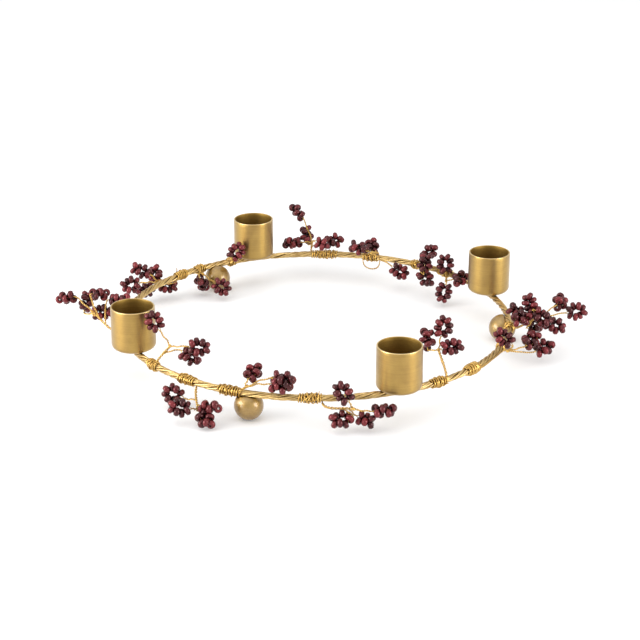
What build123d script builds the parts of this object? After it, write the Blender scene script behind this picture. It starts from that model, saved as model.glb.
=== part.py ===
# Candle ring: a hoop of twisted brass wire on three ball feet, four candle cups on top of it,
# and fifteen sprigs of glass beads on fine wire wound round the hoop.
# Millimetres, +Z up. The origin is under the hoop's centre, on the table.
import os
from math import acos, atan2, cos, hypot, pi, radians, sin, sqrt

from build123d import *

os.makedirs("parts", exist_ok=True)

# Hoop: a core wire with six wires laid round it
hoop_radius = 113.0
core_diameter = 1.24
lay_diameter = 1.12
lay_gap = 0.24
lay_count = 6
lay_turns = 24
joint_angle = 319.0
joint_gap = 0.6

# Candle cups
cup_angles = (22, 111, 205, 293)
cup_diameter = 25.0
cup_height = 24.6
cup_wall = 0.9
cup_floor = 1.0
cup_heel = 3.0
cup_well_fillet = 1.6
cup_rim_fillet = 0.3
seat_gap = 0.05

# Ball feet
foot_angles = (3, 125, 251)
foot_diameter = 16.0
foot_inset = 2.6
foot_saddle_depth = 1.577

# Sprig wire: a twisted pair, drawn as one round wire
twist_diameter = 0.8
winding_pitch = 1.3
winding_clearance = 0.25
tail_length = 1.6
knot_diameter = 2.5
loop_wire_diameter = 0.6

# Glass beads
bead_diameter = 4.4
bead_length = 2.9
bead_hole = 1.4
bead_gap = 0.12
foot_space = 0.5
foot_half_gap = 1.0
foot_reach_in = 1.7

# Sprigs, each placed from its winding: along the hoop, out from the hoop's centreline and up from it.
# turn is the compass direction that a loop faces, from straight outwards, and tilt is how far it faces up.
# Each loop: along, out, up, turn, tilt, beads.
sprigs = (
    {
        "angle": 217.5, "turns": 6, "hub": (5, -8, 11),
        "loops": ((-5, -4, 24, 55, 20, 7), (23, -16, 14, 60, 25, 7), (16, -15, 6, 85, 55, 7)),
    },
    {
        "angle": 232, "turns": 8, "hub": (17, 11, -9),
        "loops": ((-5, 7, -7, 30, 15, 7), (11, 20, -6, 50, 30, 7), (26, 10, -5, -140, 68, 7),
                  (26, 15, -11, 40, 75, 7)),
    },
    {
        "angle": 246, "turns": 5, "hub": (11, 1, 5),
        "loops": ((11, -7, 10.5, 25, 80, 7), (32, -2, 11, 25, 75, 7), (30, -2, 6, 25, 80, 7)),
    },
    {
        "angle": 268.5, "turns": 9, "hub": (23, 11, -1),
        "loops": ((17, 9, 8, 0, 20, 7), (16, 10, -8, 0, 60, 7), (30, 7, -9, 0, 45, 6),
                  (40, 8, -3, -170, 65, 7)),
    },
    {
        "angle": 305.5, "turns": 6, "hub": (9, -11, 13),
        "loops": ((10, -22, 16, 35, 25, 7), (19, -19, 22, -35, 20, 7), (17, -8, 14, -30, 25, 7)),
    },
    {
        "angle": 338, "turns": 5, "hub": (9, 8, -6),
        "loops": ((-9, 3, 10, -70, 20, 7), (18, 13, 0, -40, 45, 7), (25, 19, -7, -70, 60, 7)),
    },
    {
        "angle": 353, "turns": 5, "hub": (2, 15, 6),
        "loops": ((3, 3, 9, -40, 35, 7), (2, 11, 15.5, -95, 20, 7), (-8, 6, 9, -55, 65, 7),
                  (-6, 19, 9, -85, 40, 7), (1, 27, 2, -75, 40, 7), (20, 29, 10, -15, 30, 7),
                  (13, 39, 7, -85, 20, 7), (12, 16, -2, -60, 50, 7)),
    },
    {
        "angle": 190, "turns": 5, "hub": (-17, 17, 7),
        "loops": ((-34, 32, 10, -100, 60, 7), (-37, 19, 7, 110, 30, 7), (-25, 11, 14, -100, 65, 7),
                  (-22, 10, 4, 80, 30, 7), (-17, 0, 13, -100, 60, 7)),
    },
    {
        "angle": 139, "turns": 7, "hub": (16, 6, -2),
        "loops": ((26, 10, 8, 150, 40, 7), (9, 14, 0, 130, 40, 7), (39, 5, 3, 130, 25, 7),
                  (21, 12, -8, 130, 40, 7), (4, 7, -8, 130, 30, 7)),
    },
    {
        "angle": 119, "turns": 4, "hub": (3, -5, 3),
        "loops": ((1, -11, 11, 150, 20, 7),),
    },
    {
        "angle": 131, "turns": 5, "hub": (4, -9, -0.5),
        "loops": ((3, -6, -8, -100, 30, 7), (-3, -19, -8, 140, 20, 7)),
    },
    {
        "angle": 87.5, "turns": 12, "hub": (8, 1, 8),
        "loops": ((19, 19, 23, -65, 30, 7), (22, 4, 6, 5, 65, 7), (12, 9, 11, -135, 40, 7),
                  (-7, 7, 7, -175, 55, 7), (1, -9, 10, -175, 25, 5)),
    },
    {
        "angle": 72, "turns": 5, "hub": (-3, -9, 6),
        "loops": ((7, -7, 8, -160, 75, 7), (2, 9, 5, -160, 75, 7), (-23, -11, -4, -160, 30, 7)),
    },
    {
        "angle": 55.5, "turns": 5, "hub": (-5, -7, 2),
        "loops": ((-7, 4, 9, -145, 45, 7), (-12, -10, 7, -115, 30, 7), (-13, -10, -4, -145, 50, 7)),
    },
    {
        "angle": 44.5, "turns": 6, "hub": (-6, -5, -3),
        "loops": ((-4, -4, 8, -135, 20, 7), (-11, -13, -8, -135, 20, 7), (-24, -13, 5, -85, 30, 7)),
    },
)

# Sizes that follow from those above
lay_radius = core_diameter / 2 + lay_gap + lay_diameter / 2
rope_radius = lay_radius + lay_diameter / 2
foot_radius = foot_diameter / 2
foot_reach = foot_radius + rope_radius - foot_saddle_depth
hoop_height = foot_radius + sqrt(foot_reach**2 - foot_inset**2)
cup_base = hoop_height + rope_radius + seat_gap
cup_bore_radius = cup_diameter / 2 - cup_wall
twist_radius = twist_diameter / 2
winding_radius = rope_radius + winding_clearance + twist_radius
joint_turn = joint_gap / hoop_radius
knot_depth = 0.34 * knot_diameter
leg_start = knot_diameter / 2 + loop_wire_diameter
hub_spread = 1.02 * (twist_radius + loop_wire_diameter / 2) / knot_depth
bead_bulge = bead_length / 2
bead_waist = bead_diameter / 2 - bead_bulge
bead_face = sqrt(bead_bulge**2 - (bead_hole / 2 - bead_waist) ** 2)
upwards = Vector(0, 0, 1)


# A point on a helix that is laid round the hoop, with its direction
def laid_station(angle, phase, radius, advance):
    out = Vector(cos(angle), sin(angle), 0)
    along = Vector(-sin(angle), cos(angle), 0)
    reach = hoop_radius + radius * cos(phase)
    point = out * reach + upwards * (hoop_height + radius * sin(phase))
    turning = upwards * (radius * cos(phase)) - out * (radius * sin(phase))
    return point, (turning + along * (reach * advance)).normalized()


# The place and direction in the middle of two arcs that join one point and direction to another
def meeting(start, leaving, end, arriving):
    chord = end - start
    both = leaving + arriving
    bend = 2 * (1 - leaving.dot(arriving))
    if bend < 1e-9:
        handle = chord.dot(chord) / (4 * chord.dot(arriving))
    else:
        handle = (sqrt(chord.dot(both) ** 2 + bend * chord.dot(chord)) - chord.dot(both)) / bend
    first = start + leaving * handle
    second = end - arriving * handle
    return (first + second) * 0.5, (second - first).normalized()


# One arc, or a line where the way is straight
def arc(start, leaving, end):
    if (end - start).normalized().cross(leaving).length < 1e-5:
        Line(start, end)
    else:
        TangentArc(start, end, tangent=leaving)


# A round wire through a row of stations
def tube(stations, diameter):
    with BuildPart() as wire:
        with BuildLine() as path:
            for (start, leaving), (end, arriving) in zip(stations, stations[1:]):
                middle, passing = meeting(start, leaving, end, arriving)
                arc(start, leaving, middle)
                arc(middle, passing, end)
        with BuildSketch(Plane(origin=stations[0][0], z_dir=stations[0][1])):
            Circle(diameter / 2)
        sweep()
    return wire.part, path.edges()


# Least gap that a wound wire leaves to itself, from points along it
def least_gap(edges, diameter, skip):
    points = []
    travelled = 0.0
    for edge in edges:
        for step in range(6):
            points.append((travelled + edge.length * step / 6, edge.position_at(step / 6)))
        travelled += edge.length
    least = travelled
    for index, (place, point) in enumerate(points):
        for other_place, other in points[index + 1:]:
            if other_place - place > skip:
                least = min(least, (other - point).length)
    return least - diameter


# Winding round the hoop, in half turns, with a straight tail. side is the way it runs along the hoop.
def winding(angle, turns, side, last_phase):
    stations = []
    advance = side * winding_pitch / (2 * pi * hoop_radius)
    for half in range(2 * turns + 1):
        phase = last_phase - pi * (2 * turns - half)
        place = side * winding_pitch * (half - turns) / 2
        stations.append(laid_station(radians(angle) + place / hoop_radius, phase, winding_radius, advance))
    point, direction = stations[0]
    return [(point - direction * tail_length, direction)] + stations


# Core wire, open by the joint gap
with BuildPart() as hoop_core:
    with BuildSketch(Plane.XZ):
        with Locations((hoop_radius, hoop_height)):
            Circle(core_diameter / 2)
    revolve(axis=Axis.Z, revolution_arc=360 - joint_turn * 180 / pi)
hoop_core.part = Rot(0, 0, joint_angle) * hoop_core.part
hoop_core.part.label = "hoop_core"
export_step(hoop_core.part, "parts/hoop_core.step")

# Outer wires, in quarter turns
lay_advance = lay_turns / (1 - joint_turn / (2 * pi))
for number in range(1, lay_count + 1):
    stations = []
    for quarter in range(4 * lay_turns + 1):
        phase = pi * quarter / 2 + 2 * pi * number / lay_count
        angle = radians(joint_angle) + pi * quarter / (2 * lay_advance)
        stations.append(laid_station(angle, phase, lay_radius, 1 / lay_advance))
    outer_wire, edges = tube(stations, lay_diameter)
    outer_wire.label = f"hoop_wire_{number}"
    export_step(outer_wire, f"parts/hoop_wire_{number}.step")
print("hoop: rope diameter", round(2 * rope_radius, 2), "height", round(hoop_height, 2))

# Candle cups
on_base = (Align.CENTER, Align.CENTER, Align.MIN)
for number, angle in enumerate(cup_angles, 1):
    with BuildPart() as cup:
        Cylinder(cup_diameter / 2, cup_height, align=on_base)
        fillet(cup.edges().sort_by(Axis.Z)[0], cup_heel)
        with Locations((0, 0, cup_floor)):
            Cylinder(cup_bore_radius, cup_height, align=on_base, mode=Mode.SUBTRACT)
        circles = cup.edges().filter_by(GeomType.CIRCLE)
        well = circles.filter_by_position(Axis.Z, cup_floor - 0.01, cup_floor + 0.01)
        fillet(well.sort_by(SortBy.RADIUS)[-1], cup_well_fillet)
        fillet(cup.edges().group_by(Axis.Z)[-1], cup_rim_fillet)
    place = Vector(hoop_radius * cos(radians(angle)), hoop_radius * sin(radians(angle)), cup_base)
    cup.part = Location(place) * cup.part
    cup.part.label = f"cup_{number}"
    export_step(cup.part, f"parts/cup_{number}.step")

# Ball feet, each with a straight saddle for the hoop, as wide as the hoop's bend over the ball needs
saddle_bend = hoop_radius - sqrt(hoop_radius**2 - (0.66 * foot_radius) ** 2)
for number, angle in enumerate(foot_angles, 1):
    with BuildPart() as foot:
        Sphere(foot_radius, rotation=(90, 0, 0))
        with Locations((foot_inset, 0, hoop_height - foot_radius)):
            Cylinder(
                rope_radius + seat_gap + saddle_bend, foot_diameter, rotation=(90, 0, 0), mode=Mode.SUBTRACT
            )
    reach = hoop_radius - foot_inset
    place = Vector(reach * cos(radians(angle)), reach * sin(radians(angle)), foot_radius)
    foot.part = Location(place, (0, 0, angle)) * foot.part
    foot.part.label = f"foot_{number}"
    export_step(foot.part, f"parts/foot_{number}.step")

# Tie wire over the place where the hoop's ends meet
tie_stations = winding(joint_angle, 8, 1, radians(60))
tie_stations.append((tie_stations[-1][0] + tie_stations[-1][1] * tail_length, tie_stations[-1][1]))
tie_wire, edges = tube(tie_stations, twist_diameter)
print("tie_wire: least gap", round(least_gap(edges, twist_diameter, 4 * winding_radius), 2))
tie_wire.label = "tie_wire"
export_step(tie_wire, "parts/tie_wire.step")

# One glass bead, on its own axis
with BuildPart() as bead:
    with BuildSketch(Plane.XZ):
        with BuildLine():
            ThreePointArc((bead_hole / 2, -bead_face), (bead_diameter / 2, 0), (bead_hole / 2, bead_face))
            Line((bead_hole / 2, bead_face), (bead_hole / 2, -bead_face))
        make_face()
    revolve(axis=Axis.Z)

# Directions from a hub, pushed apart until the wires are clear of each other where they leave the knot
def spread(ways):
    for _ in range(200):
        for first in range(len(ways)):
            for second in range(first + 1, len(ways)):
                apart = ways[second] - ways[first]
                if apart.length < hub_spread:
                    ways[second] = (ways[second] + apart * 0.1).normalized()
                    if first:
                        ways[first] = (ways[first] - apart * 0.1).normalized()
    return ways


# The place of a knot, turned so that the seam of its ball runs as clear of the wires as it can
def knot_place(hub, ways):
    best = None
    most = 2.0
    for lean in range(15, 180, 30):
        for turn in range(0, 360, 30):
            middle = Vector(1, 0, 0).rotate(Axis.Y, lean).rotate(Axis.Z, turn)
            side_way = Vector(0, 1, 0).rotate(Axis.Z, turn)
            for roll in range(0, 360, 45):
                pole = side_way * cos(radians(roll)) + middle.cross(side_way) * sin(radians(roll))
                seam = [pole * cos(radians(step)) + middle * sin(radians(step)) for step in range(0, 181, 20)]
                nearest = max(way.dot(point) for way in ways for point in seam)
                if nearest < most:
                    most = nearest
                    best = Plane(origin=hub, x_dir=middle, z_dir=pole)
    return best.location


# Sprigs
for number, sprig in enumerate(sprigs, 1):
    angle = radians(sprig["angle"])
    out = Vector(cos(angle), sin(angle), 0)
    along = Vector(-sin(angle), cos(angle), 0)
    origin = out * hoop_radius + upwards * hoop_height
    hub_along, hub_out, hub_up = sprig["hub"]
    hub = origin + along * hub_along + out * hub_out + upwards * hub_up
    # The stem leaves the winding on the tangent that points at the hub
    last_phase = atan2(hub_up, hub_out) - acos(winding_radius / hypot(hub_out, hub_up))
    side = 1 if hub_along >= 0 else -1
    stations = winding(sprig["angle"], sprig["turns"], side, last_phase)
    stem_way = (hub - stations[-1][0]).normalized()
    stations.append((hub - stem_way * leg_start, stem_way))
    stations.append((hub - stem_way * knot_depth, stem_way))
    wires, edges = tube(stations, twist_diameter)
    print(f"sprig_{number}: least gap", round(least_gap(edges, twist_diameter, 4 * winding_radius), 2))

    # Bead loops, each with the foot where its leg comes in on the side of the hub
    loops = []
    bead_places = []
    for loop_along, loop_out, loop_up, turn, tilt, beads in sprig["loops"]:
        centre = origin + along * loop_along + out * loop_out + upwards * loop_up
        facing = out * cos(radians(turn)) + along * sin(radians(turn))
        normal = facing * cos(radians(tilt)) + upwards * sin(radians(tilt))
        to_hub = hub - centre
        foot_way = (to_hub - normal * to_hub.dot(normal)).normalized()
        side_way = normal.cross(foot_way)
        step = 2 * pi / (beads + foot_space)
        loop_radius = bead_waist + (bead_length + bead_gap) / (2 * sin(step / 2))
        loops.append((centre, foot_way, side_way, loop_radius))
        for index in range(beads):
            bead_angle = step * (index + (1 + foot_space) / 2)
            spoke = foot_way * cos(bead_angle) + side_way * sin(bead_angle)
            place = centre + spoke * loop_radius
            bead_places.append(Plane(origin=place, x_dir=spoke, z_dir=normal.cross(spoke)))

    # Legs: straight out of the knot, in to the loop's foot, then round through the beads
    ways = [stem_way * -1]
    for centre, foot_way, side_way, loop_radius in loops:
        ways.append((centre + foot_way * (loop_radius + foot_reach_in) - hub).normalized())
    spread(ways)
    legs = []
    for way, (centre, foot_way, side_way, loop_radius) in zip(ways[1:], loops):
        stations = [(hub + way * knot_depth, way), (hub + way * leg_start, way)]
        stations.append((centre + foot_way * (loop_radius + foot_reach_in), foot_way * -1))
        opening = foot_half_gap / loop_radius
        for quarter in range(5):
            turned = opening + (2 * pi - 2 * opening) * quarter / 4
            spoke = foot_way * cos(turned) + side_way * sin(turned)
            heading = side_way * cos(turned) - foot_way * sin(turned)
            stations.append((centre + spoke * loop_radius, heading))
        leg, edges = tube(stations, loop_wire_diameter)
        legs.append(leg)

    with BuildPart() as sprig_wire:
        with Locations(knot_place(hub, ways)):
            Sphere(knot_diameter / 2)
        add(wires)
        for leg in legs:
            add(leg)
    sprig_wire.part.label = f"sprig_{number}_wire"
    export_step(sprig_wire.part, f"parts/sprig_{number}_wire.step")

    with BuildPart() as sprig_beads:
        with Locations(*[plane.location for plane in bead_places]):
            add(bead.part)
    sprig_beads.part.label = f"sprig_{number}_beads"
    export_step(sprig_beads.part, f"parts/sprig_{number}_beads.step")
    solids = len(sprig_wire.part.solids())
    valid = sprig_wire.part.is_valid
    print(f"sprig_{number}: wire solids", solids, "valid", valid, "beads", len(bead_places))
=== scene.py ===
import math
import random

import bmesh
import bpy
from mathutils import Matrix, Vector


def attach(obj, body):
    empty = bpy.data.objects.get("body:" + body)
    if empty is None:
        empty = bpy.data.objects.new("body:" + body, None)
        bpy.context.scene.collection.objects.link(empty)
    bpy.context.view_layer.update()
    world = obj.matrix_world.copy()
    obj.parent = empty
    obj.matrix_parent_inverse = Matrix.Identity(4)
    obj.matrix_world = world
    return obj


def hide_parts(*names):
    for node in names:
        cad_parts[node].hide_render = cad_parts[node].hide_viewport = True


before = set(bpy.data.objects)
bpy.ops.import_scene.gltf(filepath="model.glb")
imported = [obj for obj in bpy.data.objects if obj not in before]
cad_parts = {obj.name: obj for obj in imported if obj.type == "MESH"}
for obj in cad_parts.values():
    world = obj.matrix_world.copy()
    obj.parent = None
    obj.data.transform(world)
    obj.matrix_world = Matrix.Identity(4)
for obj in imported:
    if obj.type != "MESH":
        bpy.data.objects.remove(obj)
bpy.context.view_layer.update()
scene = bpy.context.scene
scene.view_settings.view_transform = "Standard"
up = Vector((0, 0, 1))
weld = 0.000002  # points nearer than this become one
chance = random.Random(41)
print("frame loaded,", len(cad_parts), "nodes")


# colours are written as they look, 0 to 255
def tone(red, green, blue):
    linear = []
    for part in (red, green, blue):
        part /= 255
        linear.append(part / 12.92 if part <= 0.04045 else ((part + 0.055) / 1.055) ** 2.4)
    return (*linear, 1.0)


def setInputs(node, values):
    for name, value in values.items():
        node.inputs[name].default_value = value


def addNode(tree, kind, inputs=None, **settings):
    node = tree.nodes.new(kind)
    for name, value in settings.items():
        setattr(node, name, value)
    setInputs(node, inputs or {})
    return node


def addRange(tree, span, result=(0, 1)):
    return addNode(tree, "ShaderNodeMapRange", {
        "From Min": span[0], "From Max": span[1], "To Min": result[0], "To Max": result[1],
    })


patinaLook = {
    "brushDetail": 4, "cloudDetail": 5, "cloudRoughness": 0.62, "cloudShare": 0.6,
    "colourSpan": (0.36, 0.62), "roughSpan": (0.3, 0.7), "roughChange": (0.1, -0.06),
}


# brushing and cloudy tarnish, shared by every brass finish
def makePatina():
    group = bpy.data.node_groups.new("brassPatina", "ShaderNodeTree")
    face = group.interface
    for name, kind, default in (
        ("Bright", "NodeSocketColor", (0.6, 0.4, 0.15, 1)),
        ("Dull", "NodeSocketColor", (0.4, 0.25, 0.08, 1)),
        ("Brushing", "NodeSocketVector", (200, 200, 200)),
        ("Cloud Scale", "NodeSocketFloat", 120),
        ("Roughness", "NodeSocketFloat", 0.35),
    ):
        face.new_socket(name, in_out="INPUT", socket_type=kind).default_value = default
    for name, kind in (
        ("Color", "NodeSocketColor"),
        ("Roughness", "NodeSocketFloat"),
        ("Height", "NodeSocketFloat"),
    ):
        face.new_socket(name, in_out="OUTPUT", socket_type=kind)
    given = addNode(group, "NodeGroupInput")
    made = addNode(group, "NodeGroupOutput")
    place = addNode(group, "ShaderNodeTexCoord")
    stretch = addNode(group, "ShaderNodeVectorMath", operation="MULTIPLY")
    brush = addNode(group, "ShaderNodeTexNoise", {"Scale": 1, "Detail": patinaLook["brushDetail"]})
    cloud = addNode(group, "ShaderNodeTexNoise", {
        "Detail": patinaLook["cloudDetail"], "Roughness": patinaLook["cloudRoughness"],
    })
    share = addNode(group, "ShaderNodeMix", {"Factor": patinaLook["cloudShare"]}, data_type="FLOAT")
    spread = addRange(group, patinaLook["colourSpan"])
    colour = addNode(group, "ShaderNodeMix", data_type="RGBA")
    rough = addRange(group, patinaLook["roughSpan"], patinaLook["roughChange"])
    add = addNode(group, "ShaderNodeMath", operation="ADD")
    join = group.links.new
    join(place.outputs["Object"], stretch.inputs[0])
    join(given.outputs["Brushing"], stretch.inputs[1])
    join(stretch.outputs[0], brush.inputs["Vector"])
    join(place.outputs["Object"], cloud.inputs["Vector"])
    join(given.outputs["Cloud Scale"], cloud.inputs["Scale"])
    join(brush.outputs["Fac"], share.inputs["A"])
    join(cloud.outputs["Fac"], share.inputs["B"])
    join(share.outputs["Result"], spread.inputs["Value"])
    join(spread.outputs["Result"], colour.inputs["Factor"])
    join(given.outputs["Dull"], colour.inputs["A"])
    join(given.outputs["Bright"], colour.inputs["B"])
    join(share.outputs["Result"], rough.inputs["Value"])
    join(rough.outputs["Result"], add.inputs[0])
    join(given.outputs["Roughness"], add.inputs[1])
    join(colour.outputs["Result"], made.inputs["Color"])
    join(add.outputs[0], made.inputs["Roughness"])
    join(brush.outputs["Fac"], made.inputs["Height"])
    return group


patina = makePatina()
brushAcross = 0.25  # quarter turn of the anisotropy
lacquerIor = 1.65
brassBump = 0.0001
grooveSpan = (0.25, 0.75)


# lacquered brass that is darker in its grooves: partly tarnish, partly painted shade from an occlusion mask
def brass(name, look):
    material = bpy.data.materials.new(name)
    material.use_nodes = True
    tree = material.node_tree
    shader = tree.nodes["Principled BSDF"]
    setInputs(shader, {
        "Metallic": 1.0,
        "Anisotropic": look.get("anisotropy", 0.0),
        "Anisotropic Rotation": brushAcross,
        "Coat Weight": look["lacquer"],
        "Coat IOR": lacquerIor,
        "Coat Roughness": look.get("lacquerRoughness", 0.25),
    })
    finish = addNode(tree, "ShaderNodeGroup", {
        "Bright": tone(*look["bright"]),
        "Dull": tone(*look["dull"]),
        "Brushing": look["brushing"],
        "Cloud Scale": look["clouds"],
        "Roughness": look["roughness"],
    }, node_tree=patina)
    bump = addNode(tree, "ShaderNodeBump", {"Strength": look["bump"], "Distance": brassBump})
    # painted shade and tarnish: the occlusion mask darkens grooves and hollows towards the tarnish colour
    shut = addNode(tree, "ShaderNodeAmbientOcclusion", {"Distance": look["grooves"]}, samples=8)
    deep = addRange(tree, grooveSpan)
    tarnishAndShade = addNode(tree, "ShaderNodeMix", data_type="RGBA")
    tarnishAndShade.inputs["A"].default_value = tone(*look["tarnishAndShade"])
    join = tree.links.new
    join(shut.outputs["AO"], deep.inputs["Value"])
    join(deep.outputs["Result"], tarnishAndShade.inputs["Factor"])
    join(finish.outputs["Color"], tarnishAndShade.inputs["B"])
    join(tarnishAndShade.outputs["Result"], shader.inputs["Base Color"])
    join(finish.outputs["Roughness"], shader.inputs["Roughness"])
    join(finish.outputs["Height"], bump.inputs["Height"])
    join(bump.outputs["Normal"], shader.inputs["Normal"])
    return material


# each tarnish colour below also serves as painted shade in grooves and hollows
hoopBrass = brass("hoopBrass", {
    "bright": (220, 188, 122), "dull": (172, 140, 84), "tarnishAndShade": (100, 78, 40),
    "brushing": (900, 900, 900), "clouds": 160, "roughness": 0.42, "bump": 0.25,
    "lacquer": 0.4, "grooves": 0.0012,
})
cupBrass = brass("cupBrass", {
    "bright": (177, 142, 62), "dull": (154, 119, 46), "tarnishAndShade": (112, 84, 38),
    "brushing": (40, 40, 5200), "clouds": 90, "roughness": 0.36, "bump": 0.08, "anisotropy": 0.6,
    "lacquer": 0.8, "lacquerRoughness": 0.5, "grooves": 0.0012,
})
ballBrass = brass("ballBrass", {
    "bright": (168, 136, 70), "dull": (148, 116, 56), "tarnishAndShade": (112, 84, 38),
    "brushing": (700, 700, 1600), "clouds": 190, "roughness": 0.52, "bump": 0.16,
    "lacquer": 1.0, "grooves": 0.0012,
})
wireGold = brass("wireGold", {
    "bright": (230, 190, 104), "dull": (182, 138, 64), "tarnishAndShade": (132, 94, 36),
    "brushing": (700, 700, 700), "clouds": 260, "roughness": 0.28, "bump": 0.1,
    "lacquer": 0.3, "grooves": 0.0006,
})
cupInside = brass("cupInside", {
    "bright": (178, 146, 78), "dull": (148, 117, 56), "tarnishAndShade": (96, 70, 26),
    "brushing": (40, 40, 3000), "clouds": 110, "roughness": 0.5, "bump": 0.12,
    "lacquer": 0.0, "grooves": 0.003,
})
# painted highlight: the rim top gets a much paler brass, standing in for the light it catches
cupRimHighlight = brass("cupRimHighlight", {
    "bright": (236, 206, 138), "dull": (206, 172, 104), "tarnishAndShade": (150, 118, 60),
    "brushing": (40, 40, 3000), "clouds": 110, "roughness": 0.3, "bump": 0.08,
    "lacquer": 0.6, "grooves": 0.0006,
})

glass = {
    "ior": 1.52, "metallic": 0.3, "specular": 0.55, "tint": (255, 226, 224),
    "streaks": 620, "streakDetail": 3, "streakShare": 0.5,
    "darkAt": 0.2, "dark": (40, 9, 12), "bright": (130, 43, 48),
    # the gap colour is painted shade where beads crowd each other
    "gapReach": 0.0024, "gapSpan": (0.2, 0.9), "gapShadeColour": (22, 4, 6),
    "roughness": (0.16, 0.32), "bump": 0.18, "bumpHeight": 0.0002,
}


# wine-red glass with a soft lustre; every bead has its own tone, with painted shade between the beads
def makeBeadGlass():
    material = bpy.data.materials.new("beadGlass")
    material.use_nodes = True
    tree = material.node_tree
    shader = tree.nodes["Principled BSDF"]
    setInputs(shader, {
        "IOR": glass["ior"],
        "Metallic": glass["metallic"],
        "Specular IOR Level": glass["specular"],
        "Specular Tint": tone(*glass["tint"]),
    })
    own = addNode(tree, "ShaderNodeAttribute", attribute_name="beadTone")
    place = addNode(tree, "ShaderNodeTexCoord")
    streak = addNode(tree, "ShaderNodeTexNoise", {
        "Scale": glass["streaks"], "Detail": glass["streakDetail"],
    })
    mixed = addNode(tree, "ShaderNodeMath", {1: glass["streakShare"]}, operation="MULTIPLY_ADD")
    ramp = addNode(tree, "ShaderNodeValToRGB")
    low, high = ramp.color_ramp.elements
    low.position = glass["darkAt"]
    low.color = tone(*glass["dark"])
    high.color = tone(*glass["bright"])
    # painted shade: an occlusion mask darkens the glass towards near-black between neighbouring beads
    gapShade = addNode(tree, "ShaderNodeAmbientOcclusion", {"Distance": glass["gapReach"]}, samples=8)
    depth = addRange(tree, glass["gapSpan"])
    shaded = addNode(tree, "ShaderNodeMix", data_type="RGBA")
    shaded.inputs["A"].default_value = tone(*glass["gapShadeColour"])
    rough = addRange(tree, (0, 1), glass["roughness"])
    bump = addNode(tree, "ShaderNodeBump", {"Strength": glass["bump"], "Distance": glass["bumpHeight"]})
    join = tree.links.new
    join(place.outputs["Object"], streak.inputs["Vector"])
    join(streak.outputs["Fac"], mixed.inputs[0])
    join(own.outputs["Fac"], mixed.inputs[2])
    join(mixed.outputs[0], ramp.inputs["Fac"])
    join(gapShade.outputs["AO"], depth.inputs["Value"])
    join(depth.outputs["Result"], shaded.inputs["Factor"])
    join(ramp.outputs["Color"], shaded.inputs["B"])
    join(shaded.outputs["Result"], shader.inputs["Base Color"])
    join(streak.outputs["Fac"], rough.inputs["Value"])
    join(rough.outputs["Result"], shader.inputs["Roughness"])
    join(streak.outputs["Fac"], bump.inputs["Height"])
    join(bump.outputs["Normal"], shader.inputs["Normal"])
    return material


beadGlass = makeBeadGlass()
print("materials made")


def showPiece(name, data, body, nodes):
    piece = bpy.data.objects.new(name, data)
    scene.collection.objects.link(piece)
    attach(piece, body)
    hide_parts(*nodes)
    return piece


def showMesh(name, bm, material, body, nodes):
    mesh = bpy.data.meshes.new(name)
    bm.to_mesh(mesh)
    bm.free()
    for face in mesh.polygons:
        face.use_smooth = True
    mesh.materials.append(material)
    return showPiece(name, mesh, body, nodes)


def startWire(name, radius, sides, material):
    data = bpy.data.curves.new(name, "CURVE")
    data.dimensions = "3D"
    data.bevel_depth = radius
    data.bevel_resolution = sides
    data.resolution_u = 3
    data.use_fill_caps = True
    data.materials.append(material)
    return data


def addStrand(data, points, thickness=None):
    strand = data.splines.new("NURBS")
    strand.points.add(len(points) - 1)
    for index, point in enumerate(points):
        strand.points[index].co = (*point, 1)
        if thickness:
            strand.points[index].radius = thickness[index]
    strand.order_u = 3
    strand.use_endpoint_u = True


hoop = {
    "radius": 0.113, "height": 0.01599, "strands": 6, "turns": 24, "outside": 0.00198,
    "strandRadius": 0.00062, "sizes": (1.32, 0.85), "coreRadius": 0.00062, "coreSteps": 180,
    "joint": 319, "jointGap": 0.3, "pointsPerTurn": 10,
    "wander": 0.00014, "phaseWander": 0.45, "swell": 0.1,
    "awayWaves": (5, 22), "slipWaves": (5, 18), "swellWaves": (4, 40),
}


def hoopPoint(angle, phase, distance):
    reach = hoop["radius"] + distance * math.cos(phase)
    return Vector((
        reach * math.cos(angle), reach * math.sin(angle), hoop["height"] + distance * math.sin(phase),
    ))


# slow, smooth wander from a few sines that each wire has for itself
def makeWander(count, fastest):
    waves = []
    for _ in range(count):
        waves.append((chance.uniform(1, fastest), chance.uniform(0, 6.28), chance.uniform(0.4, 1)))
    total = sum(wave[2] for wave in waves)
    return lambda place: sum(size * math.sin(rate * place + start) for rate, start, size in waves) / total


def buildHoop():
    data = startWire("hoopRope", hoop["strandRadius"], 2, hoopBrass)
    first = math.radians(hoop["joint"] + hoop["jointGap"] / 2)
    sweep = 2 * math.pi - math.radians(hoop["jointGap"])
    steps = hoop["turns"] * hoop["pointsPerTurn"]
    for number in range(hoop["strands"]):
        away = makeWander(*hoop["awayWaves"])
        slip = makeWander(*hoop["slipWaves"])
        swell = makeWander(*hoop["swellWaves"])
        size = hoop["sizes"][number % 2]  # broad and narrow strands in turn
        points = []
        thickness = []
        for step in range(steps + 1):
            angle = first + sweep * step / steps
            phase = 2 * math.pi * (step / hoop["pointsPerTurn"] + (number + 1) / hoop["strands"])
            phase += hoop["phaseWander"] * slip(angle)
            distance = hoop["outside"] - size * hoop["strandRadius"] + hoop["wander"] * away(angle)
            points.append(hoopPoint(angle, phase, distance))
            thickness.append(size * (1 + hoop["swell"] * swell(angle)))
        addStrand(data, points, thickness)
    steps = hoop["coreSteps"]
    core = [hoopPoint(first + sweep * step / steps, 0, 0) for step in range(steps + 1)]
    addStrand(data, core, [hoop["coreRadius"] / hoop["strandRadius"]] * len(core))
    nodes = ["hoop_core"] + [f"hoop_wire_{number}" for number in range(1, hoop["strands"] + 1)]
    showPiece(data.name, data, "ring", nodes)


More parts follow.
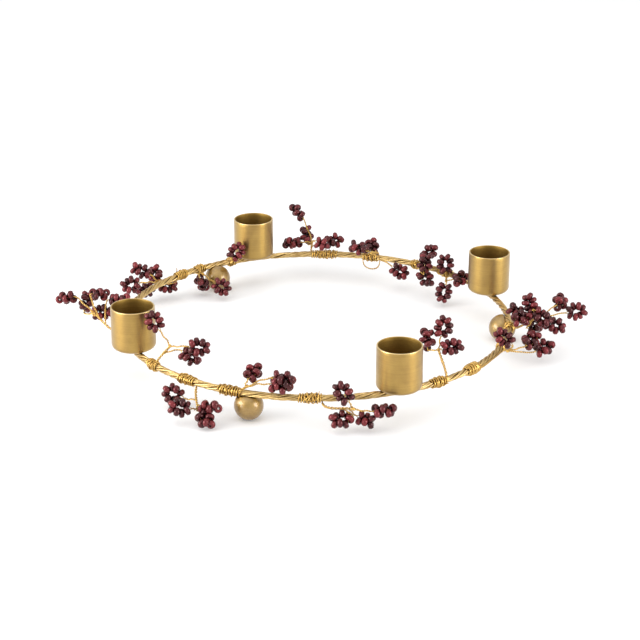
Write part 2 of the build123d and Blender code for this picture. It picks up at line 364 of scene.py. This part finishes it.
buildHoop()
print("hoop laid")

# roundings are given as a size and a number of segments
cup = {
    "angles": (22, 111, 205, 293), "radius": 0.0125, "height": 0.0246, "wall": 0.0009, "floor": 0.001,
    "heel": (0.003, 8), "well": (0.0016, 6), "rim": (0.0003, 3), "base": 0.01802, "steps": 96,
    "longEdge": 0.006, "wallCuts": 10, "oval": (0.00012, 0.0001, 0.0002, 0.00008),
}


def buildCup(number, angle, oval):
    bm = bmesh.new()
    outer, inner, high, low = cup["radius"], cup["radius"] - cup["wall"], cup["height"], cup["floor"]
    outline = [(0, 0), (outer, 0), (outer, high), (inner, high), (inner, low), (0, low)]
    corners = [bm.verts.new((x, 0, z)) for x, z in outline]
    for start, end in zip(corners, corners[1:]):
        bm.edges.new((start, end))
    rounding = {
        corners[1]: cup["heel"], corners[4]: cup["well"], corners[2]: cup["rim"], corners[3]: cup["rim"],
    }
    for corner, (size, segments) in rounding.items():
        bmesh.ops.bevel(
            bm, geom=[corner], offset=size, offset_type="OFFSET", segments=segments,
            profile=0.5, affect="VERTICES", material=-1,
        )
    walls = [edge for edge in bm.edges if abs(edge.verts[0].co.z - edge.verts[1].co.z) > cup["longEdge"]]
    bmesh.ops.subdivide_edges(bm, edges=walls, cuts=cup["wallCuts"])
    bmesh.ops.spin(
        bm, geom=bm.verts[:] + bm.edges[:], cent=(0, 0, 0), axis=(0, 0, 1), angle=2 * math.pi,
        steps=cup["steps"], use_merge=True,
    )
    bmesh.ops.remove_doubles(bm, verts=bm.verts[:], dist=weld)
    bmesh.ops.recalc_face_normals(bm, faces=bm.faces[:])
    lean = chance.uniform(0, math.pi)
    for vert in bm.verts:  # a thin cup is never quite round at its rim
        around = math.atan2(vert.co.y, vert.co.x) - lean
        pull = 1 - oval * (1 + math.cos(2 * around)) * max(0, vert.co.z / high) ** 2 / (2 * outer)
        vert.co.x *= pull
        vert.co.y *= pull
    turn = math.radians(angle)
    place = Vector((hoop["radius"] * math.cos(turn), hoop["radius"] * math.sin(turn), cup["base"]))
    bmesh.ops.translate(bm, verts=bm.verts[:], vec=place)
    rim = cup["rim"][0]
    for face in bm.faces:
        middle = face.calc_center_median() - place
        inward = face.normal.x * middle.x + face.normal.y * middle.y < -0.5 * middle.xy.length
        if inward or (face.normal.z > 0.3 and middle.z < high - 2 * rim):
            face.material_index = 1
        # the rim top takes the painted highlight material
        elif middle.z > high - 1.5 * rim:
            face.material_index = 2
    piece = showMesh(f"candleCup_{number}", bm, cupBrass, "ring", [f"cup_{number}"])
    piece.data.materials.append(cupInside)
    piece.data.materials.append(cupRimHighlight)


for number, angle in enumerate(cup["angles"], 1):
    buildCup(number, angle, cup["oval"][number - 1])
print("cups turned")

ball = {"angles": (3, 125, 251), "radius": 0.008, "inset": 0.0026, "saddle": 0.00203, "steps": (56, 36)}


def buildBall(number, angle):
    bm = bmesh.new()
    around, down = ball["steps"]
    bmesh.ops.create_uvsphere(bm, u_segments=around, v_segments=down, radius=ball["radius"])
    turn = math.radians(angle)
    reach = hoop["radius"] - ball["inset"]
    bmesh.ops.translate(
        bm, verts=bm.verts[:], vec=(reach * math.cos(turn), reach * math.sin(turn), ball["radius"]),
    )
    for vert in bm.verts:  # the saddle that the hoop lies in
        centre = hoopPoint(math.atan2(vert.co.y, vert.co.x), 0, 0)
        if (vert.co - centre).length < ball["saddle"]:
            vert.co = centre + (vert.co - centre).normalized() * ball["saddle"]
    showMesh(f"ballFoot_{number}", bm, ballBrass, "ring", [f"foot_{number}"])


for number, angle in enumerate(ball["angles"], 1):
    buildBall(number, angle)
print("ball feet set")

# wrap, overWrap, knotWrap and tailEnd are shares of the wire's own thickness
wire = {
    "radius": 0.00025, "pitch": 0.00145, "halfTurn": 0.0007, "stepsPerTurn": 12, "lift": 0.00016,
    "firstLayer": 0.00232, "secondLayer": 0.00288, "neat": 0.7, "untidy": 1.3,
    "slipWaves": (4, 9), "liftWaves": (4, 7), "overFrom": (0.3, 0.9), "overTo": (0.3, 0.8),
    "wrap": 1.85, "overWrap": 1.4,
    "tail": 0.0022, "tailSteps": (0.35, 0.7, 1), "tailCurl": 0.5, "tailEnd": (1.2, 1.1, 1),
    "stemRadius": 0.00048, "stemTwist": 0.0042, "stemSpacing": 0.0004, "stemWires": 4,
    "looseWaves": (3, 5), "bunch": 0.9,
    "pairRadius": 0.00028, "twist": 0.0027, "legSpacing": 0.0003, "loosen": 0.4,
    "legLeave": 0.25, "legArrive": (2, 0.6), "crook": 0.0004, "crookWaves": (9, 7),
    "knotRadius": 0.0007, "knotLength": 0.0013, "knotTurns": 2.6, "knotWrap": 1.25, "knotSteps": 24,
    "bightSteps": 24, "bightLoosen": 0.6, "bightTop": (-1.4, -1.6),
}
bead = {
    "radius": 0.00258, "length": 0.0034, "shoulder": (0.0022, 0.00118), "lip": 0.0008,
    "footSpace": 0.4, "footReach": 0.0017, "steps": 12,
    "loopRadius": {5: 0.0028, 6: 0.0032, 8: 0.0039}, "stagger": 0.0012, "wobble": 0.0003,
    "lean": 0.22, "widths": (0.92, 1.03), "lengths": (0.9, 1.04), "tones": (0, 0.55),
}

# millimetres from each winding: along the hoop, out from it and up; each loop ends with the way that it
# faces, how far it faces up, its beads, where along the stem its leg leaves, and how round it is
sprigs = (
    {"angle": 217.5, "turns": 6, "hub": (5, -8, 11), "loops": (
        (-5, -4, 24, 55, 20, 8, 1, 0.63), (23, -16, 14, 60, 25, 8, 0.95, 0.59),
        (16, -15, 6, 85, 55, 8, 0.6, 0.5))},
    {"angle": 232, "turns": 8, "hub": (17, 11, -9), "loops": (
        (-5, 7, -7, 30, 15, 8, 0.55, 0.71), (11, 20, -6, 50, 30, 8, 0.95, 0.55),
        (26, 10, -5, -140, 68, 8, 0.75, 0.42), (26, 15, -11, 40, 75, 8, 1, 0.5))},
    {"angle": 246, "turns": 9, "hub": (11, 1, 5), "loops": (
        (11, -7, 10.5, 25, 80, 8, 0.7, 0.46), (32, -2, 11.4, 25, 75, 8, 1, 0.5),
        (30, -2, 7.4, 25, 80, 8, 0.95, 0.5))},
    {"angle": 268.5, "turns": 9, "hub": (23, 11, -1), "loops": (
        (17, 9, 8, 0, 20, 8, 0.95, 0.63), (16, 9.2, -8, 0, 60, 8, 0.7, 0.67),
        (30, 7, -9, 0, 45, 6, 0.85, 0.5), (40, 8, -3, -170, 65, 8, 1, 0.42))},
    {"angle": 305.5, "turns": 7, "hub": (9, -11, 13), "loops": (
        (10, -22, 16, 35, 25, 8, 1, 0.55), (19, -19, 22, -35, 20, 8, 0.9, 0.63),
        (17, -8, 14, -30, 25, 8, 0.8, 0.5))},
    {"angle": 338, "turns": 5, "hub": (9, 8, -6), "loops": (
        (-9, 3, 10, -70, 20, 8, 0.1, 0.55), (18, 13, 0, -40, 45, 8, 0.3, 0.5),
        (25, 19, -7, -70, 60, 8, 0.4, 0.55))},
    {"angle": 353, "turns": 5, "hub": (2, 15, 6), "loops": (
        (3, 3, 9, -40, 35, 8, 0.5, 0.42), (2, 11, 15.5, -95, 20, 8, 0.7, 0.42),
        (-8, 6, 9, -55, 65, 8, 0.6, 0.5), (-6, 19, 9, -85, 40, 8, 0.85, 0.5),
        (1, 27, 2, -75, 40, 8, 0.9, 0.5), (20, 29, 10, -15, 30, 8, 1, 0.5),
        (13, 39, 7, -85, 20, 8, 0.95, 0.67), (12, 16, -2, -60, 50, 8, 0.9, 0.5))},
    {"angle": 190, "turns": 5, "hub": (-17, 17, 7), "loops": (
        (-34, 32, 10, -100, 60, 8, 1, 0.42), (-37, 19, 7, 110, 30, 8, 0.9, 0.42),
        (-25, 11, 14, -100, 65, 8, 0.75, 0.42), (-22, 10, 4, 80, 30, 8, 0.8, 0.5),
        (-17, 0, 13, -100, 60, 8, 0.5, 0.5))},
    {"angle": 139, "turns": 7, "hub": (16, 6, -2), "fan": 2.8, "loops": (
        (26, 10, 8, 150, 40, 8, 0.9, 0.42), (9, 14, 0, 130, 40, 8, 0.55, 0.5),
        (39, 5, 3, 130, 25, 8, 1, 0.67), (21, 12, -8, 130, 40, 8, 0.8, 0.5),
        (4, 7, -8, 130, 30, 8, 0.4, 0.5))},
    {"angle": 119, "turns": 4, "hub": (3, -5, 3), "loops": ((1, -11, 11, 150, 20, 8, 0.9, 0.67),)},
    {"angle": 131, "turns": 5, "hub": (4, -9, -0.5), "loops": (
        (3, -6, -8, -100, 30, 8, 0.6, 0.42), (-3, -19, -8, 140, 20, 8, 0.95, 0.71))},
    {"angle": 87.5, "turns": 12, "hub": (8, 1, 8), "loops": (
        (19, 19, 23, -65, 30, 8, 1, 0.42), (22, 4, 6, 5, 65, 8, 0.95, 0.42),
        (12, 9, 11, -135, 40, 8, 0.8, 0.42), (-7, 7, 7, -175, 55, 8, 0.5, 0.5),
        (1, -9, 10, -175, 25, 5, 0.7, 0.59))},
    {"angle": 72, "turns": 7, "hub": (-3, -9, 6), "slack": (5, -6.5, 6), "loops": (
        (7, -7, 8, -160, 75, 8, 0.6, 0.5), (2, 9, 5, -160, 75, 8, 0.5, 0.5),
        (-23, -11, -4, -160, 30, 8, 1, 0.59))},
    {"angle": 55.5, "turns": 5, "hub": (-5, -7, 2), "loops": (
        (-7, 4, 9, -145, 45, 8, 0.5, 0.5), (-12, -10, 7, -115, 30, 8, 1, 0.5),
        (-13, -10, -4, -145, 50, 8, 0.9, 0.5))},
    {"angle": 44.5, "turns": 6, "hub": (-6, -5, -3), "loops": (
        (-4, -4, 8, -135, 20, 8, 0.4, 0.71), (-11, -13, -8, -135, 20, 8, 0.95, 0.67),
        (-24, -13, 5, -85, 30, 8, 1, 0.42))},
)
fixedSprigs = (6,)


# an easy bend from one place and way to another
def bend(start, leaving, end, arriving, spacing):
    reach = (end - start).length
    steps = max(4, round(reach / spacing))
    points = []
    for step in range(steps + 1):
        t = step / steps
        points.append(
            start * (2 * t**3 - 3 * t**2 + 1) + leaving * (reach * (t**3 - 2 * t**2 + t))
            + end * (3 * t**2 - 2 * t**3) + arriving * (reach * (t**3 - t**2))
        )
    return points


# fine wires twisted round a line, a little loose here and there
def twistWires(line, count, radius, pitch, slack):
    start = chance.uniform(0, 6)
    loosen = makeWander(*wire["looseWaves"])
    strands = [[] for _ in range(count)]
    side = None
    travelled = 0.0
    for index, point in enumerate(line):
        way = (line[min(index + 1, len(line) - 1)] - line[max(index - 1, 0)]).normalized()
        if side is None:
            side = way.orthogonal().normalized()
        else:
            travelled += (point - line[index - 1]).length
            side = (side - way * side.dot(way)).normalized()
        across = way.cross(side)
        wide = radius * (1 + slack * max(0, loosen(travelled / pitch)))
        for number, strand in enumerate(strands):
            bunch = number % 2 * math.pi + number // 2 * wire["bunch"]
            turn = start + 2 * math.pi * travelled / pitch + bunch
            strand.append(point + side * (wide * math.cos(turn)) + across * (wide * math.sin(turn)))
    return strands


# turns round the hoop from one place along it to another
def windOn(angle, start, end, turns, distance, lastPhase, loose):
    steps = max(8, round(turns * wire["stepsPerTurn"]))
    sign = 1 if end >= start else -1
    slip, lift = makeWander(*wire["slipWaves"]), makeWander(*wire["liftWaves"])
    points = []
    for step in range(steps + 1):
        share = step / steps
        phase = lastPhase - 2 * math.pi * turns * (1 - share)
        place = start + (end - start) * share
        place += sign * wire["pitch"] * loose * slip(phase) * math.sin(math.pi * share)
        away = distance + wire["lift"] * loose * (1 + lift(phase)) * math.sin(math.pi * share)
        points.append(hoopPoint(math.radians(angle) + place / hoop["radius"], phase, away))
    return points


def makeBead():
    bm = bmesh.new()
    high = bead["length"] / 2
    wide, slope = bead["shoulder"]
    outline = [(bead["lip"], -high), (wide, -slope), (bead["radius"], 0), (wide, slope), (bead["lip"], high)]
    ring = [bm.verts.new((x, 0, z)) for x, z in outline]
    for start, end in zip(ring, ring[1:] + ring[:1]):
        bm.edges.new((start, end))
    bmesh.ops.spin(
        bm, geom=bm.verts[:] + bm.edges[:], cent=(0, 0, 0), axis=(0, 0, 1), angle=2 * math.pi,
        steps=bead["steps"], use_merge=True,
    )
    bmesh.ops.remove_doubles(bm, verts=bm.verts[:], dist=weld)
    bmesh.ops.recalc_face_normals(bm, faces=bm.faces[:])
    mesh = bpy.data.meshes.new("seedBead")
    bm.to_mesh(mesh)
    bm.free()
    return mesh


seedBead = makeBead()


# beads spaced evenly round an oval, each with its place and the way that it points out
def spaceBeads(count, radius, roundness):
    fine = 120
    marks = []
    for mark in range(fine + 1):
        turn = 6.2832 * mark / fine
        marks.append((math.cos(turn), roundness * math.sin(turn)))
    runs = [0.0]
    for (x, y), (nextX, nextY) in zip(marks, marks[1:]):
        runs.append(runs[-1] + math.hypot(nextX - x, nextY - y))
    long = radius * 2 * math.pi / runs[-1]
    spots = []
    for index in range(2 * count + 1):  # between the beads too
        wanted = runs[-1] * (index + bead["footSpace"]) / (2 * count + 2 * bead["footSpace"])
        mark = next(spot for spot, run in enumerate(runs) if run >= wanted)
        x, y = marks[mark]
        outX, outY = x, y / roundness**2
        size = math.hypot(outX, outY)
        spots.append((x * long, y * long, outX / size, outY / size))
    return long, spots[0::2], spots[1::2]


# thick wraps round the hoop, and some looser turns over them that end in a tail
def windSprig(data, sprig):
    side = 1 if sprig["hub"][0] >= 0 else -1
    half = sprig["turns"] * wire["halfTurn"]
    turns = round(2 * half / wire["pitch"])
    hubOut, hubUp = sprig["hub"][1] / 1000, sprig["hub"][2] / 1000
    phase = math.atan2(hubUp, hubOut) - math.acos(wire["firstLayer"] / math.hypot(hubOut, hubUp))
    first = windOn(sprig["angle"], -side * half, side * half, turns, wire["firstLayer"], phase, wire["neat"])
    begin = -side * half * chance.uniform(*wire["overFrom"])
    end = side * half * chance.uniform(*wire["overTo"])
    lastPhase = phase + chance.uniform(0, 6)
    second = windOn(
        sprig["angle"], begin, end, max(2, turns // 3), wire["secondLayer"], lastPhase, wire["untidy"],
    )
    loose = (second[-1] - second[-2]).normalized()
    outward = (second[-1] - hoopPoint(math.atan2(second[-1].y, second[-1].x), 0, 0)).normalized()
    tail = []
    for t in wire["tailSteps"]:
        tail.append(second[-1] + (loose * t + outward * wire["tailCurl"] * t * t) * wire["tail"])
    addStrand(data, second + tail, [wire["overWrap"]] * len(second) + list(wire["tailEnd"]))
    return first


# a few tight turns where the stem ends
def tieKnot(data, end, before):
    onward = (end - before).normalized()
    aside = onward.orthogonal().normalized()
    knot = []
    for step in range(wire["knotSteps"] + 1):
        share = step / wire["knotSteps"]
        turned = aside @ Matrix.Rotation(-2 * math.pi * wire["knotTurns"] * share, 3, onward)
        away = wire["knotRadius"] * (0.7 + 0.3 * math.sin(math.pi * share))
        knot.append(end + onward * (wire["knotLength"] * (share - 0.5)) + turned * away)
    addStrand(data, knot, [wire["knotWrap"]] * len(knot))


# four wires twisted together from the winding to the hub
def growStem(data, sprig, first, hub):
    leave = (first[-1] - first[-3]).normalized()
    line = bend(first[-1], leave, hub, (hub - first[-1]).normalized(), wire["stemSpacing"])
    reach = round(max(loop[6] for loop in sprig["loops"]) * (len(line) - 1)) + 1
    fan = sprig.get("fan", 1)  # above 1 the wires lie loose beside each other
    stem = twistWires(
        line[:reach], wire["stemWires"], wire["stemRadius"] * fan, wire["stemTwist"] * fan**2, wire["loosen"],
    )
    thickness = [wire["wrap"]] * (len(first) - 1) + [1] * (len(stem[0]) - 2)
    addStrand(data, first[:-1] + stem[0][2:], thickness)
    for strand in stem[1:]:
        addStrand(data, [first[-2]] + strand[1:])
    tieKnot(data, line[reach - 1], line[reach - 3])
    return line


# a bight of spare wire that hangs under the hoop
def hangSlack(data, sprig, place):
    begin, finish, drop = sprig["slack"]
    inward, below = wire["bightTop"]
    hang = []
    for step in range(wire["bightSteps"] + 1):
        share = step / wire["bightSteps"]
        sway = begin + (finish - begin) * (share - 0.1 * math.sin(2 * math.pi * share))
        hang.append(place((sway, inward, below - drop * math.sin(math.pi * share) ** 0.7)))
    for strand in twistWires(hang, 2, wire["pairRadius"], wire["twist"], wire["bightLoosen"]):
        addStrand(data, strand)


def addBead(bm, toneLayer, spot, spoke, axis):
    stand = Matrix((spoke, axis.cross(spoke), axis)).transposed().to_4x4()
    lean = Vector((chance.uniform(-1, 1), chance.uniform(-1, 1), 0.1)).normalized()
    wobble = Matrix.Rotation(chance.uniform(-bead["lean"], bead["lean"]), 4, lean)
    wide, long = chance.uniform(*bead["widths"]), chance.uniform(*bead["lengths"])
    grown = Matrix.Diagonal((wide, wide, long, 1))
    before = len(bm.verts)
    bm.from_mesh(seedBead)
    bm.verts.ensure_lookup_table()
    fresh = bm.verts[before:]
    bmesh.ops.transform(bm, matrix=Matrix.Translation(spot) @ stand @ wobble @ grown, verts=fresh)
    shade = chance.uniform(*bead["tones"])
    for vert in fresh:
        vert[toneLayer] = shade


# one wire goes out along the leg, round through the beads and back
def stringLoop(data, bm, toneLayer, loop, centre, normal, hub, line):
    toHub = hub - centre
    footWay = (toHub - normal * toHub.dot(normal)).normalized()
    sideWay = normal.cross(footWay)
    beads, leaveAt, roundness = loop[5:]
    radius = bead["loopRadius"][beads]
    long, between, onBeads = spaceBeads(beads, radius, roundness)
    centre += footWay * (long - radius)
    foot = centre + footWay * (long + bead["footReach"])
    fork = min(len(line) - 2, max(1, round(leaveAt * (len(line) - 1))))
    stemWay = (line[fork + 1] - line[fork - 1]).normalized()
    straight = (foot - line[fork]).normalized()
    leaving = (stemWay * wire["legLeave"] + straight).normalized()
    onward, lead = wire["legArrive"]
    arriving = (straight * onward - footWay * lead).normalized()
    leg = bend(line[fork], leaving, foot, arriving, wire["legSpacing"])
    across, over = wire["crookWaves"]
    for step in range(1, len(leg) - 1):  # hand-twisted wire is never quite straight
        share = step / (len(leg) - 1)
        crook = sideWay * math.sin(across * share + loop[3]) + normal * math.sin(over * share + loop[1])
        leg[step] += crook * (wire["crook"] * math.sin(math.pi * share))
    there, back = twistWires(leg, 2, wire["pairRadius"], wire["twist"], wire["loosen"])

    spots = []
    threaded = []
    for index, (x, y, outX, outY) in enumerate(onBeads):
        spoke = footWay * outX + sideWay * outY
        lift = bead["stagger"] * (1 if index % 2 else -1) + chance.uniform(-1, 1) * bead["wobble"]
        slide = chance.uniform(-1, 1) * bead["wobble"]
        spot = centre + footWay * x + sideWay * y + spoke * slide + normal * lift
        threaded.append(centre + footWay * between[index][0] + sideWay * between[index][1])
        threaded.append(spot)
        spots.append((spot, spoke, normal.cross(spoke)))
    threaded.append(centre + footWay * between[-1][0] + sideWay * between[-1][1])
    if (there[-1] - threaded[0]).length > (back[-1] - threaded[0]).length:
        there, back = back, there
    addStrand(data, there + threaded + back[::-1])
    for spot, spoke, axis in spots:
        addBead(bm, toneLayer, spot, spoke, axis)


def buildSprig(number, sprig):
    angle = math.radians(sprig["angle"])
    out = Vector((math.cos(angle), math.sin(angle), 0))
    along = Vector((-math.sin(angle), math.cos(angle), 0))
    origin = hoopPoint(angle, 0, 0)

    def place(values):
        return origin + (along * values[0] + out * values[1] + up * values[2]) / 1000

    hub = place(sprig["hub"])
    data = startWire(f"sprigWire_{number}", wire["radius"], 1, wireGold)
    line = growStem(data, sprig, windSprig(data, sprig), hub)
    if "slack" in sprig:
        hangSlack(data, sprig, place)
    bm = bmesh.new()
    toneLayer = bm.verts.layers.float.new("beadTone")
    for loop in sprig["loops"]:
        turn, tilt = math.radians(loop[3]), math.radians(loop[4])
        facing = out * math.cos(turn) + along * math.sin(turn)
        normal = facing * math.cos(tilt) + up * math.sin(tilt)
        stringLoop(data, bm, toneLayer, loop, place(loop[:3]), normal, hub, line)
    body = "ring" if number in fixedSprigs else f"sprig_{number}"
    showPiece(data.name, data, body, [f"sprig_{number}_wire"])
    showMesh(f"sprigBeads_{number}", bm, beadGlass, body, [f"sprig_{number}_beads"])


for number, sprig in enumerate(sprigs, 1):
    buildSprig(number, sprig)
print("sprigs strung")

# each layer: where it starts and ends, its turns, its distance, its last phase and how loose it is
tie = {
    "half": 0.0052, "layers": (
        (-1, 1, 9, wire["firstLayer"], 1.0, 0.6),
        (-0.7, 0.9, 5, wire["secondLayer"], 0.4, 1.6),
        (0.8, -0.5, 3, wire["secondLayer"], 2.4, 1.4),
    ),
    "runTo": 336.6, "runDistance": 0.00212, "runSway": 0.22, "runLift": 0.00012, "runSteps": 30,
    "runs": ((-0.7, -0.1), (-0.3, 0.5), (0.4, -0.5)),
    "swayWaves": (3, 12), "liftWaves": (3, 14), "runRate": 4,
}


def buildTie():
    data = startWire("tieWire", wire["radius"], 1, wireGold)
    for begin, end, turns, distance, lastPhase, loose in tie["layers"]:
        strand = windOn(
            hoop["joint"], tie["half"] * begin, tie["half"] * end, turns, distance, lastPhase, loose,
        )
        addStrand(data, strand, [wire["wrap"]] * len(strand))
    for leaving, arriving in tie["runs"]:  # ends laid along the rope, up to the next winding
        sway, lift = makeWander(*tie["swayWaves"]), makeWander(*tie["liftWaves"])
        points = []
        for step in range(tie["runSteps"] + 1):
            share = step / tie["runSteps"]
            angle = math.radians(hoop["joint"] + (tie["runTo"] - hoop["joint"]) * share)
            place = angle * tie["runRate"]
            phase = leaving + (arriving - leaving) * share + tie["runSway"] * sway(place)
            distance = tie["runDistance"] + tie["runLift"] * (1 + lift(place))
            points.append(hoopPoint(angle, phase, distance))
        addStrand(data, points)
    showPiece(data.name, data, "ring", ["tie_wire"])


buildTie()
print("joint tied")

# each softbox: its place, its size and its power
studio = {
    "eye": (0.0021, -0.9463, 0.3945), "aim": (0.0021, 0, 0.01515), "lens": 97.42,
    "softboxes": (
        ((-0.88, -0.34, 0.27), (0.7, 0.5), 8.6),
        ((0.9, -0.5, 0.26), (0.6, 0.5), 7.0),
        ((-0.5, -0.35, 1.0), (0.8, 0.8), 1.0),
        ((-0.3, 0.0, 2.4), (4.4, 4.4), 30.0),
    ),
    "lightAim": (0, 0, 0.02), "worldLight": 1.02, "floorSize": 4, "floorColour": 0.9, "floorGlow": 0.12,
}


# 1 where the camera looks, straight, by a reflection or through glass
def addLooking(tree):
    seen = addNode(tree, "ShaderNodeLightPath")
    glossy = addNode(tree, "ShaderNodeMath", operation="MAXIMUM")
    through = addNode(tree, "ShaderNodeMath", operation="MAXIMUM")
    join = tree.links.new
    join(seen.outputs["Is Camera Ray"], glossy.inputs[0])
    join(seen.outputs["Is Glossy Ray"], glossy.inputs[1])
    join(glossy.outputs[0], through.inputs[0])
    join(seen.outputs["Is Transmission Ray"], through.inputs[1])
    return through.outputs[0]


def aimAt(thing, spot, target):
    thing.location = spot
    thing.rotation_euler = (Vector(target) - Vector(spot)).to_track_quat("-Z", "Y").to_euler()
    scene.collection.objects.link(thing)


def buildLights():
    camera = bpy.data.objects.new("camera", bpy.data.cameras.new("camera"))
    camera.data.lens = studio["lens"]
    camera.data.sensor_width = 36
    camera.data.clip_start = 0.01
    aimAt(camera, studio["eye"], studio["aim"])
    scene.camera = camera
    for number, (spot, size, power) in enumerate(studio["softboxes"], 1):
        light = bpy.data.lights.new(f"softbox_{number}", "AREA")
        light.shape = "RECTANGLE"
        light.size, light.size_y = size
        light.energy = power
        aimAt(bpy.data.objects.new(f"softbox_{number}", light), spot, studio["lightAim"])


def buildWorld():
    world = bpy.data.worlds.new("studioWorld")
    world.use_nodes = True
    scene.world = world
    tree = world.node_tree
    tree.nodes.clear()
    lit = addNode(tree, "ShaderNodeBackground", {"Strength": studio["worldLight"]})
    white = addNode(tree, "ShaderNodeBackground", {"Strength": 1.0})
    choose = addNode(tree, "ShaderNodeMixShader")
    made = addNode(tree, "ShaderNodeOutputWorld")
    join = tree.links.new
    join(addLooking(tree), choose.inputs["Fac"])
    join(lit.outputs[0], choose.inputs[1])
    join(white.outputs[0], choose.inputs[2])
    join(choose.outputs[0], made.inputs["Surface"])


# white paper that keeps the shadows
def buildFloor():
    bm = bmesh.new()
    bmesh.ops.create_grid(bm, x_segments=1, y_segments=1, size=studio["floorSize"])
    mesh = bpy.data.meshes.new("floor")
    bm.to_mesh(mesh)
    bm.free()
    floor = bpy.data.objects.new("floor", mesh)
    scene.collection.objects.link(floor)
    paper = bpy.data.materials.new("paper")
    paper.use_nodes = True
    tree = paper.node_tree
    tree.nodes.clear()
    matt = addNode(tree, "ShaderNodeBsdfDiffuse", {"Color": (*[studio["floorColour"]] * 3, 1)})
    glow = addNode(tree, "ShaderNodeEmission")
    share = addNode(tree, "ShaderNodeMath", {1: studio["floorGlow"]}, operation="MULTIPLY")
    choose = addNode(tree, "ShaderNodeMixShader")
    made = addNode(tree, "ShaderNodeOutputMaterial")
    join = tree.links.new
    join(addLooking(tree), share.inputs[0])
    join(share.outputs[0], choose.inputs["Fac"])
    join(matt.outputs[0], choose.inputs[1])
    join(glow.outputs[0], choose.inputs[2])
    join(choose.outputs[0], made.inputs["Surface"])
    mesh.materials.append(paper)


buildLights()
buildWorld()
buildFloor()
print("studio lit")
